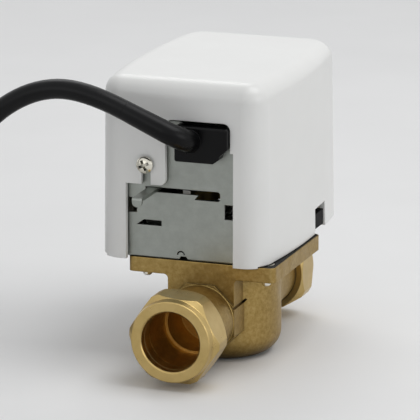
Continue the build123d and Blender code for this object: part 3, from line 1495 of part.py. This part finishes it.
# Rest of the lead, coiled: one layer inwards on the surface, half a turn up, one layer out
def coil_place(turn):
    """Point of the coil's middle line after some turns, clockwise from above."""
    inner = coil_radius - coil_pitch * coil_turns_in
    climb = (turn - coil_turns_in) / 0.5
    height = lay_z
    if climb < 0:
        radius = coil_radius - coil_pitch * turn
    elif climb < 1:
        radius = inner - half(coil_pitch) * climb * (1 - climb)
        height += coil_layer * climb * climb * (3 - 2 * climb)
    else:
        radius = inner + coil_pitch * (turn - coil_turns_in - 0.5)
        height += coil_layer
    angle = -half(pi) - 2 * pi * turn
    centre_x = lead_end_x - 2 * cable_radius
    return Vector(centre_x + radius * cos(angle), coil_centre_y + radius * sin(angle), height)


def least_gap(path, radius, apart):
    """Least gap of a tube to itself, on points of its path at least apart along it."""
    count = ceil(path.length / radius)
    points = [tuple(path @ (k / count)) for k in range(count + 1)]
    skip = ceil(apart / path.length * count)
    return min(
        hypot(*(p - q for p, q in zip(points[i], points[j]))) - 2 * radius
        for i in range(len(points))
        for j in range(i + skip, len(points))
    )


coil_quarters = round(4 * (coil_turns_in + 0.5 + coil_turns_out))
coil_places = [coil_place(k / 4) for k in range(coil_quarters + 1)]
coil_tangents = [
    (coil_place(k / 4 + 1e-4) - coil_place(k / 4 - 1e-4)).normalized() for k in range(coil_quarters + 1)
]
coil_tangents[0] = Vector(-1, 0, 0)
with BuildPart() as lead_coil:
    with BuildLine() as coil_path:
        Line(coil_start, coil_places[0])
        add_biarcs(coil_places, coil_tangents)
        Line(coil_places[-1], coil_places[-1] + coil_tangents[-1] * 2 * cable_radius)
    with BuildSketch(Plane(coil_start, z_dir=coil_tangents[0])) as coil_section:
        Circle(cable_radius)
    sweep(path=coil_path.line)
save(lead_coil.part, "lead_coil")

# Cores at the lead's cut end, curving on as the coil does, and their bared tips
core_run = coil_tangents[-1]
core_inwards = Vector(core_run.Y, -core_run.X, 0)
cut_end = coil_places[-1] + core_run * 2 * cable_radius
core_plane = Plane(cut_end, x_dir=core_inwards * -1, z_dir=core_run)
core_axis = Axis(cut_end + core_inwards * core_bend, (0, 0, -1))
core_turn = degrees(core_length / core_bend)
tip_turn = degrees(core_tip_length / core_bend)
core_places = [
    (core_circle * cos(radians(a)), core_circle * sin(radians(a)))
    for a in (core_first + 360 * k / core_count for k in range(core_count))
]
with BuildPart() as lead_cores:
    with BuildSketch(core_plane) as core_section:
        with Locations(core_places):
            Circle(core_radius)
    revolve(axis=core_axis, revolution_arc=core_turn)
save(lead_cores.part, "lead_cores")

with BuildPart() as lead_core_tips:
    with BuildSketch(core_plane) as tip_section:
        with Locations(core_places):
            Circle(core_tip_radius)
    revolve(axis=core_axis, revolution_arc=core_turn + tip_turn)
    revolve(core_section.sketch, axis=core_axis, revolution_arc=core_turn, mode=Mode.SUBTRACT)
save(lead_core_tips.part, "lead_core_tips")
coil_wire = coil_path.wires()[0]
print("coil", round(coil_wire.length, 1), "volume", round(lead_coil.part.volume, 1))
print("section times length", round(pi * cable_radius**2 * coil_wire.length, 1))
print("coil, least gap to itself", round(least_gap(coil_wire, cable_radius, half(pi) * coil_radius), 2))
spring_line = spring_path.wires()[0]
print("spring, least gap to itself", round(least_gap(spring_line, spring_wire, pi * spring_radius), 2))
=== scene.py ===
import json
from math import cos, pi, radians, sin

import bpy
from mathutils import Matrix, Vector


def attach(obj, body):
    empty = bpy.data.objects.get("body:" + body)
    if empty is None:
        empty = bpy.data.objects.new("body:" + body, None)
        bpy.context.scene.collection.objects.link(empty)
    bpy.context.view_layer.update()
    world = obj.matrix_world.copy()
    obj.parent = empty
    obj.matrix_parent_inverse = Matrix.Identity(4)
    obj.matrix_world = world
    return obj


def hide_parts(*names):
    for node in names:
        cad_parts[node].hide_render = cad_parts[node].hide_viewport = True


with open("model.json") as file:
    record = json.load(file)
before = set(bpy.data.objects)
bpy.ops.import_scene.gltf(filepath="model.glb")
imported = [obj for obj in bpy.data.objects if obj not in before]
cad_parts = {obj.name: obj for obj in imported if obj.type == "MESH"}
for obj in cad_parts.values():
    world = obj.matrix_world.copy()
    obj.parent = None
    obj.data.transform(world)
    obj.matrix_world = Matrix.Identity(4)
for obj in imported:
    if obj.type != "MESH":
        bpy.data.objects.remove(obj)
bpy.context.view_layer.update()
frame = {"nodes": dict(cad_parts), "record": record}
nodes = frame["nodes"]
scene = bpy.context.scene

# Camera: fitted to the photograph, which is square
image_width = 420
focal_pixels = 3923.62
sensor_width = 36
target = Vector((0, -0.0162, 0.0574))
distance = 1.4428
azimuth, elevation, roll = radians(20.03), radians(14.57), radians(-0.23)
away = Vector((sin(azimuth) * cos(elevation), -cos(azimuth) * cos(elevation), sin(elevation)))
level = Vector((cos(azimuth), sin(azimuth), 0))
upright = away.cross(level)
right = level * cos(roll) + upright * sin(roll)
up = upright * cos(roll) - level * sin(roll)
camera_data = bpy.data.cameras.new("camera")
camera_data.sensor_width = sensor_width
camera_data.lens = focal_pixels / image_width * sensor_width
camera_data.clip_end = 20
camera = bpy.data.objects.new("camera", camera_data)
turned = Matrix((right, up, away)).transposed().to_4x4()
camera.matrix_world = Matrix.Translation(target + away * distance) @ turned
scene.collection.objects.link(camera)
scene.camera = camera

# Lead: route points as in the source, then the coil's turns, all in metres
cable_radius = 0.0037
lay_z = 0.00375  # middle of a lead that lies on the floor
boot_tip = Vector((-0.0240, -0.0402, 0.0985))
boot_line = Vector((-0.0215, -0.0010, 0.0097)).normalized()
boot_run = 0.0174
route = [boot_tip, boot_tip + boot_line * boot_run]
route += [
    Vector(p)
    for p in (
        (-0.0600, -0.0420, 0.1040),
        (-0.0794, -0.0430, 0.0902),
        (-0.0908, -0.0445, 0.0670),
        (-0.0964, -0.0465, 0.0360),
        (-0.1075, -0.0485, 0.0154),
        (-0.1275, -0.0500, lay_z),
        (-0.1465, -0.0500, lay_z),
    )
]
coil_centre = Vector((-0.1539, -0.0060, 0))
coil_radius, coil_pitch, coil_layer = 0.044, 0.008, 0.0079
turns_in, turns_up, turns_out = 1.25, 0.5, 1.0
points_per_turn = 24


def coil_place(turn):
    """Point of the coil's middle line after some turns, clockwise from above."""
    inner = coil_radius - coil_pitch * turns_in
    climb = (turn - turns_in) / turns_up
    height = lay_z
    if climb < 0:
        radius = coil_radius - coil_pitch * turn
    elif climb < 1:
        radius = inner - coil_pitch / 2 * climb * (1 - climb)
        height += coil_layer * climb * climb * (3 - 2 * climb)
    else:
        radius = inner + coil_pitch * (turn - turns_in - turns_up)
        height += coil_layer
    angle = -pi / 2 - 2 * pi * turn
    return coil_centre + Vector((radius * cos(angle), radius * sin(angle), height))


turns = turns_in + turns_up + turns_out
coil = [coil_place(k / points_per_turn) for k in range(round(turns * points_per_turn) + 1)]
coil_end = (coil_place(turns) - coil_place(turns - 0.001)).normalized()
coil.append(coil[-1] + coil_end * 2 * cable_radius)


def add_tube(name, points, radius):
    """A round tube on one smooth spline, whose points carry the tube's radius."""
    data = bpy.data.curves.new(name, "CURVE")
    data.dimensions = "3D"
    data.bevel_depth = 1.0
    data.bevel_resolution = 8
    data.use_fill_caps = True
    spline = data.splines.new("NURBS")
    spline.points.add(len(points) - 1)
    for point, place in zip(spline.points, points):
        point.co = (*place, 1)
        point.radius = radius
    spline.order_u = 3
    spline.use_endpoint_u = True
    spline.resolution_u = 8
    piece = bpy.data.objects.new(name, data)
    scene.collection.objects.link(piece)
    return piece


lead = add_tube("lead_sheath", route + coil, cable_radius)
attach(lead, "valve")
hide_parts("mains_lead", "lead_coil")


# Materials: colours are linear, and each pair of numbers after them is a range of roughness
pipe_height = 0.0185
bore_radius = 0.0113
bore_dark = (0.46, 0.26, 0.065)
bore_light = (0.60, 0.37, 0.105)
block_dark = (0.0018, 0.0018, 0.002)
block_light = (0.003, 0.003, 0.0033)
sheath_dark = (0.0055, 0.0055, 0.006)
sheath_light = (0.0095, 0.0095, 0.010)
sheath_gloss = 0.15
sheath_rough = (0.26, 0.34)
sheath_grain = (1500, 0.00001, 0.3)


class Shader:
    """One node-based material with a few shorthands."""

    def __init__(self, name):
        self.material = bpy.data.materials.new(name)
        self.material.use_nodes = True
        self.tree = self.material.node_tree
        self.bsdf = self.tree.nodes["Principled BSDF"]
        self.coords = self.tree.nodes.new("ShaderNodeTexCoord")

    def node(self, kind, **values):
        node = self.tree.nodes.new(kind)
        for key, value in values.items():
            setattr(node, key, value)
        return node

    def link(self, out, into):
        self.tree.links.new(out, into)

    def mapped(self, scale=(1, 1, 1), location=(0, 0, 0)):
        mapping = self.node("ShaderNodeMapping")
        mapping.inputs["Scale"].default_value = scale
        mapping.inputs["Location"].default_value = location
        self.link(self.coords.outputs["Object"], mapping.inputs["Vector"])
        return mapping.outputs["Vector"]

    def noise(self, scale, detail=4, roughness=0.55, vector=None):
        noise = self.node("ShaderNodeTexNoise")
        noise.inputs["Scale"].default_value = scale
        noise.inputs["Detail"].default_value = detail
        noise.inputs["Roughness"].default_value = roughness
        self.link(vector or self.coords.outputs["Object"], noise.inputs["Vector"])
        return noise.outputs["Fac"]

    def ramp(self, value, stops):
        ramp = self.node("ShaderNodeValToRGB")
        elements = ramp.color_ramp.elements
        while len(elements) < len(stops):
            elements.new(0.5)
        for element, (at, colour) in zip(elements, stops):
            element.position = at
            element.color = (*colour, 1)
        self.link(value, ramp.inputs["Fac"])
        return ramp.outputs["Color"]

    def span(self, value, low, high, start=0.3, end=0.7):
        span = self.node("ShaderNodeMapRange")
        span.inputs["From Min"].default_value = start
        span.inputs["From Max"].default_value = end
        span.inputs["To Min"].default_value = low
        span.inputs["To Max"].default_value = high
        self.link(value, span.inputs["Value"])
        return span.outputs["Result"]

    def mixed(self, first, second, factor=None):
        """The second colour laid over the first, or the two multiplied if no factor is given."""
        blend = "MULTIPLY" if factor is None else "MIX"
        mix = self.node("ShaderNodeMix", data_type="RGBA", blend_type=blend)
        mix.inputs["Factor"].default_value = 1.0
        if factor is not None:
            self.link(factor, mix.inputs["Factor"])
        self.link(first, mix.inputs["A"])
        self.link(second, mix.inputs["B"])
        return mix.outputs["Result"]

    def bump(self, height, distance, strength, below):
        bump = self.node("ShaderNodeBump")
        bump.inputs["Strength"].default_value = strength
        bump.inputs["Distance"].default_value = distance
        self.link(height, bump.inputs["Height"])
        self.link(below, bump.inputs["Normal"])
        return bump.outputs["Normal"]

    def painted_shade_in_corners(self, colour, distance, depth):
        """Darkens a colour where surfaces meet, as painted shade in corners and recesses."""
        near = self.node("ShaderNodeAmbientOcclusion")
        near.samples = 8
        near.inputs["Distance"].default_value = distance
        return self.mixed(colour, self.span(near.outputs["AO"], 1 - depth, 1.0, 0.35, 0.85))

    def fresh_bore(self, colour, inside):
        """Clean machined brass within the pipe's bore, where nothing has tarnished it."""
        across = self.node("ShaderNodeVectorMath", operation="MULTIPLY")
        across.inputs[1].default_value = (1, 0, 1)
        self.link(self.mapped(location=(0, 0, -pipe_height)), across.inputs[0])
        reach = self.node("ShaderNodeVectorMath", operation="LENGTH")
        self.link(across.outputs["Vector"], reach.inputs[0])
        bore = self.span(reach.outputs["Value"], 1.0, 0.0, bore_radius, bore_radius + 0.0002)
        return self.mixed(colour, inside, bore)

    def soft_edges(self, radius):
        bevel = self.node("ShaderNodeBevel")
        bevel.samples = 6
        bevel.inputs["Radius"].default_value = radius
        return bevel.outputs["Normal"]

    def finish(self, colour, rough=None, normal=None, metallic=0.0, **values):
        self.bsdf.inputs["Metallic"].default_value = metallic
        for name, value in values.items():
            self.bsdf.inputs[name.replace("_", " ")].default_value = value
        self.link(colour, self.bsdf.inputs["Base Color"])
        if rough is not None:
            self.link(rough, self.bsdf.inputs["Roughness"])
        if normal is not None:
            self.link(normal, self.bsdf.inputs["Normal"])
        return self.material


def cast_metal(name, dark, mid, light, low, high):
    """Sand cast metal, tarnished outside, with painted shade in its corners, and clean in its bore.
    """
    s = Shader(name)
    grain = s.noise(2600, 3, 0.6)
    cloud = s.noise(620, 6, 0.7)
    waves = s.bump(s.noise(500, 4, 0.5), 0.00010, 0.35, s.soft_edges(0.0005))
    normal = s.bump(grain, 0.00007, 0.5, waves)
    colour = s.ramp(cloud, ((0.30, dark), (0.52, mid), (0.75, light)))
    # Painted shade: the colour darkens where surfaces meet, close in and further out.
    colour = s.painted_shade_in_corners(colour, 0.0015, 0.65)
    colour = s.painted_shade_in_corners(colour, 0.009, 0.45)
    colour = s.fresh_bore(colour, s.ramp(cloud, ((0.30, bore_dark), (0.75, bore_light))))
    return s.finish(colour, s.span(s.noise(180, 4), low, high), normal, 1.0)


def turned_metal(name, dark, light, low, high, edge=0.0003, corner_darkening=(0.0012, 0.5)):
    """Machined metal with fine rings about the pipe's line, and painted shade where its surfaces
    meet.
    """
    s = Shader(name)
    ring = s.node("ShaderNodeTexWave", wave_type="RINGS", rings_direction="Y", wave_profile="SIN")
    ring.inputs["Scale"].default_value = 2200
    ring.inputs["Distortion"].default_value = 2.5
    ring.inputs["Detail"].default_value = 2
    s.link(s.mapped(location=(0, 0, -pipe_height)), ring.inputs["Vector"])
    fine = s.bump(s.noise(1500, 2), 0.00001, 0.15, s.soft_edges(edge))
    normal = s.bump(ring.outputs["Fac"], 0.00001, 0.10, fine)
    # Painted shade: the colour darkens where surfaces meet.
    colour = s.painted_shade_in_corners(s.ramp(s.noise(160, 4, 0.6), ((0.32, dark), (0.7, light))), *corner_darkening)
    return s.finish(colour, s.span(s.noise(260, 4), low, high), normal, 1.0)


def rolled_sheet(name, dark, light, low, high, stretch=(1, 1, 14)):
    """Plated sheet with faint rolling lines and cloudy plating."""
    s = Shader(name)
    lines = s.noise(350, 3, 0.5, s.mapped(scale=stretch))
    cloud = s.noise(260, 5, 0.65)
    fine = s.bump(s.noise(1400, 2), 0.00002, 0.2, s.soft_edges(0.00025))
    normal = s.bump(lines, 0.00002, 0.25, fine)
    colour = s.ramp(cloud, ((0.34, dark), (0.68, light)))
    return s.finish(colour, s.span(cloud, low, high), normal, 1.0)


def moulded(name, dark, light, low, high, grain=(3200, 0.00002, 0.4), **values):
    """Moulded plastic or rubber with a fine grain and slight unevenness."""
    s = Shader(name)
    scale, depth, strength = grain
    waves = s.bump(s.noise(60, 3), 0.0002, 0.05, s.soft_edges(0.0004))
    normal = s.bump(s.noise(scale, 2, 0.5), depth, strength, waves)
    colour = s.ramp(s.noise(45, 4, 0.6), ((0.3, dark), (0.7, light)))
    return s.finish(colour, s.span(s.noise(120, 4), low, high), normal, **values)


def boot_moulding(name):
    """The black block, whose boot turns to the sheath's own black towards its tip."""
    s = Shader(name)
    place = s.node("ShaderNodeSeparateXYZ")
    s.link(s.coords.outputs["Object"], place.inputs["Vector"])
    outward = s.span(place.outputs["X"], 1.0, 0.0, boot_tip.x + 0.001, boot_tip.x + 0.014)
    cloud = s.noise(45, 4, 0.6)
    block = s.ramp(cloud, ((0.3, block_dark), (0.7, block_light)))
    sheath = s.ramp(cloud, ((0.3, sheath_dark), (0.7, sheath_light)))
    scale, depth, strength = sheath_grain
    normal = s.bump(s.noise(scale, 2, 0.5), depth, strength, s.soft_edges(0.0004))
    rough = s.span(s.noise(120, 4), *sheath_rough)
    return s.finish(s.mixed(block, sheath, outward), rough, normal, Specular_IOR_Level=sheath_gloss)


def core_sheaths(name, colours):
    """Soft sheaths of a lead's cores, each one in its own colour."""
    s = Shader(name)
    core = s.node("ShaderNodeNewGeometry").outputs["Random Per Island"]
    colour = s.ramp(core, [(k / len(colours), colour) for k, colour in enumerate(colours)])
    colour.node.color_ramp.interpolation = "CONSTANT"
    normal = s.bump(s.noise(2400, 2, 0.5), 0.00001, 0.4, s.soft_edges(0.0002))
    return s.finish(colour, s.span(s.noise(300, 3), 0.32, 0.42), normal)


by_slot = {
    "cast_brass": cast_metal(
        "cast_brass", (0.26, 0.17, 0.053), (0.335, 0.23, 0.08), (0.43, 0.31, 0.125), 0.36, 0.50
    ),
    "turned_brass": turned_metal(
        "turned_brass", (0.46, 0.33, 0.125), (0.54, 0.395, 0.165), 0.27, 0.37
    ),
    "bright_steel": turned_metal(
        "bright_steel",
        (0.66, 0.63, 0.54),
        (0.78, 0.75, 0.66),
        0.14,
        0.22,
        edge=0.00008,
        # Deep painted shade in recesses.
        corner_darkening=(0.0012, 0.93),
    ),
    "black_steel": rolled_sheet(
        "black_steel", (0.016, 0.015, 0.014), (0.028, 0.026, 0.024), 0.5, 0.65
    ),
    "spring_steel": turned_metal(
        "spring_steel", (0.40, 0.40, 0.40), (0.52, 0.52, 0.52), 0.25, 0.40
    ),
    "copper": turned_metal("soft_copper", (0.62, 0.33, 0.20), (0.75, 0.43, 0.28), 0.25, 0.40),
    "tin_brass": turned_metal("tin_brass", (0.60, 0.58, 0.50), (0.70, 0.68, 0.60), 0.25, 0.38),
    "zinc_steel": rolled_sheet(
        "zinc_steel", (0.29, 0.305, 0.28), (0.335, 0.35, 0.325), 0.36, 0.44
    ),
    "white_cover": moulded(
        "white_cover", (0.77, 0.77, 0.755), (0.79, 0.79, 0.775), 0.28, 0.34, (1200, 0.00001, 0.15)
    ),
    "black_plastic": moulded(
        "black_plastic",
        (0.003, 0.003, 0.0033),
        (0.005, 0.005, 0.0054),
        0.38,
        0.48,
        Specular_IOR_Level=0.04,
    ),
    "cream_plastic": moulded(
        "cream_plastic", (0.60, 0.57, 0.47), (0.66, 0.63, 0.53), 0.36, 0.48
    ),
    "black_pvc": moulded(
        "black_pvc",
        sheath_dark,
        sheath_light,
        *sheath_rough,
        sheath_grain,
        Specular_IOR_Level=sheath_gloss,
    ),
    "core_sheath": core_sheaths(
        "core_sheath",
        (
            (0.16, 0.07, 0.03),
            (0.05, 0.12, 0.42),
            (0.30, 0.45, 0.06),
            (0.55, 0.53, 0.50),
            (0.60, 0.20, 0.03),
        ),
    ),
    "seal_rubber": moulded(
        "seal_rubber", (0.012, 0.012, 0.012), (0.022, 0.022, 0.022), 0.5, 0.65, (1800, 0.00004, 0.5)
    ),
}
motor_steel = rolled_sheet(
    "motor_steel", (0.44, 0.44, 0.43), (0.56, 0.56, 0.55), 0.24, 0.36, (8, 8, 1)
)
own_material = {
    "motor_gearbox": motor_steel,
    "motor_can": motor_steel,
    "strain_relief": boot_moulding("black_moulding"),
}
slots = {entry["node"]: entry["material_slot"] for entry in frame["record"]["subparts"]}


def dress(piece, material):
    if not piece.material_slots:
        piece.data.materials.append(material)
    for entry in piece.material_slots:
        entry.material = material


for name, piece in nodes.items():
    dress(piece, own_material.get(name, by_slot[slots[name]]))
dress(lead, by_slot["black_pvc"])

# Floor, background and light
floor_shader = Shader("floor")
floor_stops = ((0.3, (0.80, 0.80, 0.80)), (0.7, (0.83, 0.83, 0.83)))
floor_shader.finish(floor_shader.ramp(floor_shader.noise(9, 3), floor_stops), Roughness=0.75)
bpy.ops.mesh.primitive_plane_add(size=12, location=(0, 0, 0))
floor = bpy.context.object
floor.name = "floor"
floor.data.materials.append(floor_shader.material)

world_light = 0.42
world = bpy.data.worlds.new("studio")
scene.world = world
world.use_nodes = True
tree = world.node_tree
background = tree.nodes["Background"]
background.inputs["Color"].default_value = (0.88, 0.89, 0.90, 1)
rays = tree.nodes.new("ShaderNodeLightPath").outputs
shown = rays["Is Camera Ray"]
for kind in ("Is Transmission Ray", "Is Glossy Ray"):
    either = tree.nodes.new("ShaderNodeMath")
    either.operation = "MAXIMUM"
    tree.links.new(shown, either.inputs[0])
    tree.links.new(rays[kind], either.inputs[1])
    shown = either.outputs[0]
strength = tree.nodes.new("ShaderNodeMapRange")
strength.inputs["To Min"].default_value = world_light
strength.inputs["To Max"].default_value = 1.0
tree.links.new(shown, strength.inputs["Value"])
tree.links.new(strength.outputs["Result"], background.inputs["Strength"])


def add_light(name, place, size, power):
    """A rectangular lamp aimed at the middle of the object."""
    data = bpy.data.lights.new(name, "AREA")
    data.shape = "RECTANGLE"
    data.size, data.size_y = size
    data.energy = power
    light = bpy.data.objects.new(name, data)
    light.location = place
    aim = Vector((0, 0.01, 0.05)) - Vector(place)
    light.rotation_euler = aim.to_track_quat("-Z", "Y").to_euler()
    scene.collection.objects.link(light)


add_light("key", (0.40, 0.05, 1.00), (0.7, 0.7), 4.9)
add_light("back", (-0.40, 0.62, 0.92), (0.6, 0.6), 2.4)
add_light("side", (1.1, -0.35, 0.35), (0.6, 0.5), 1.7)
add_light("front", (-0.35, -1.15, 0.45), (0.8, 0.6), 0.9)

scene.view_settings.view_transform = "Standard"
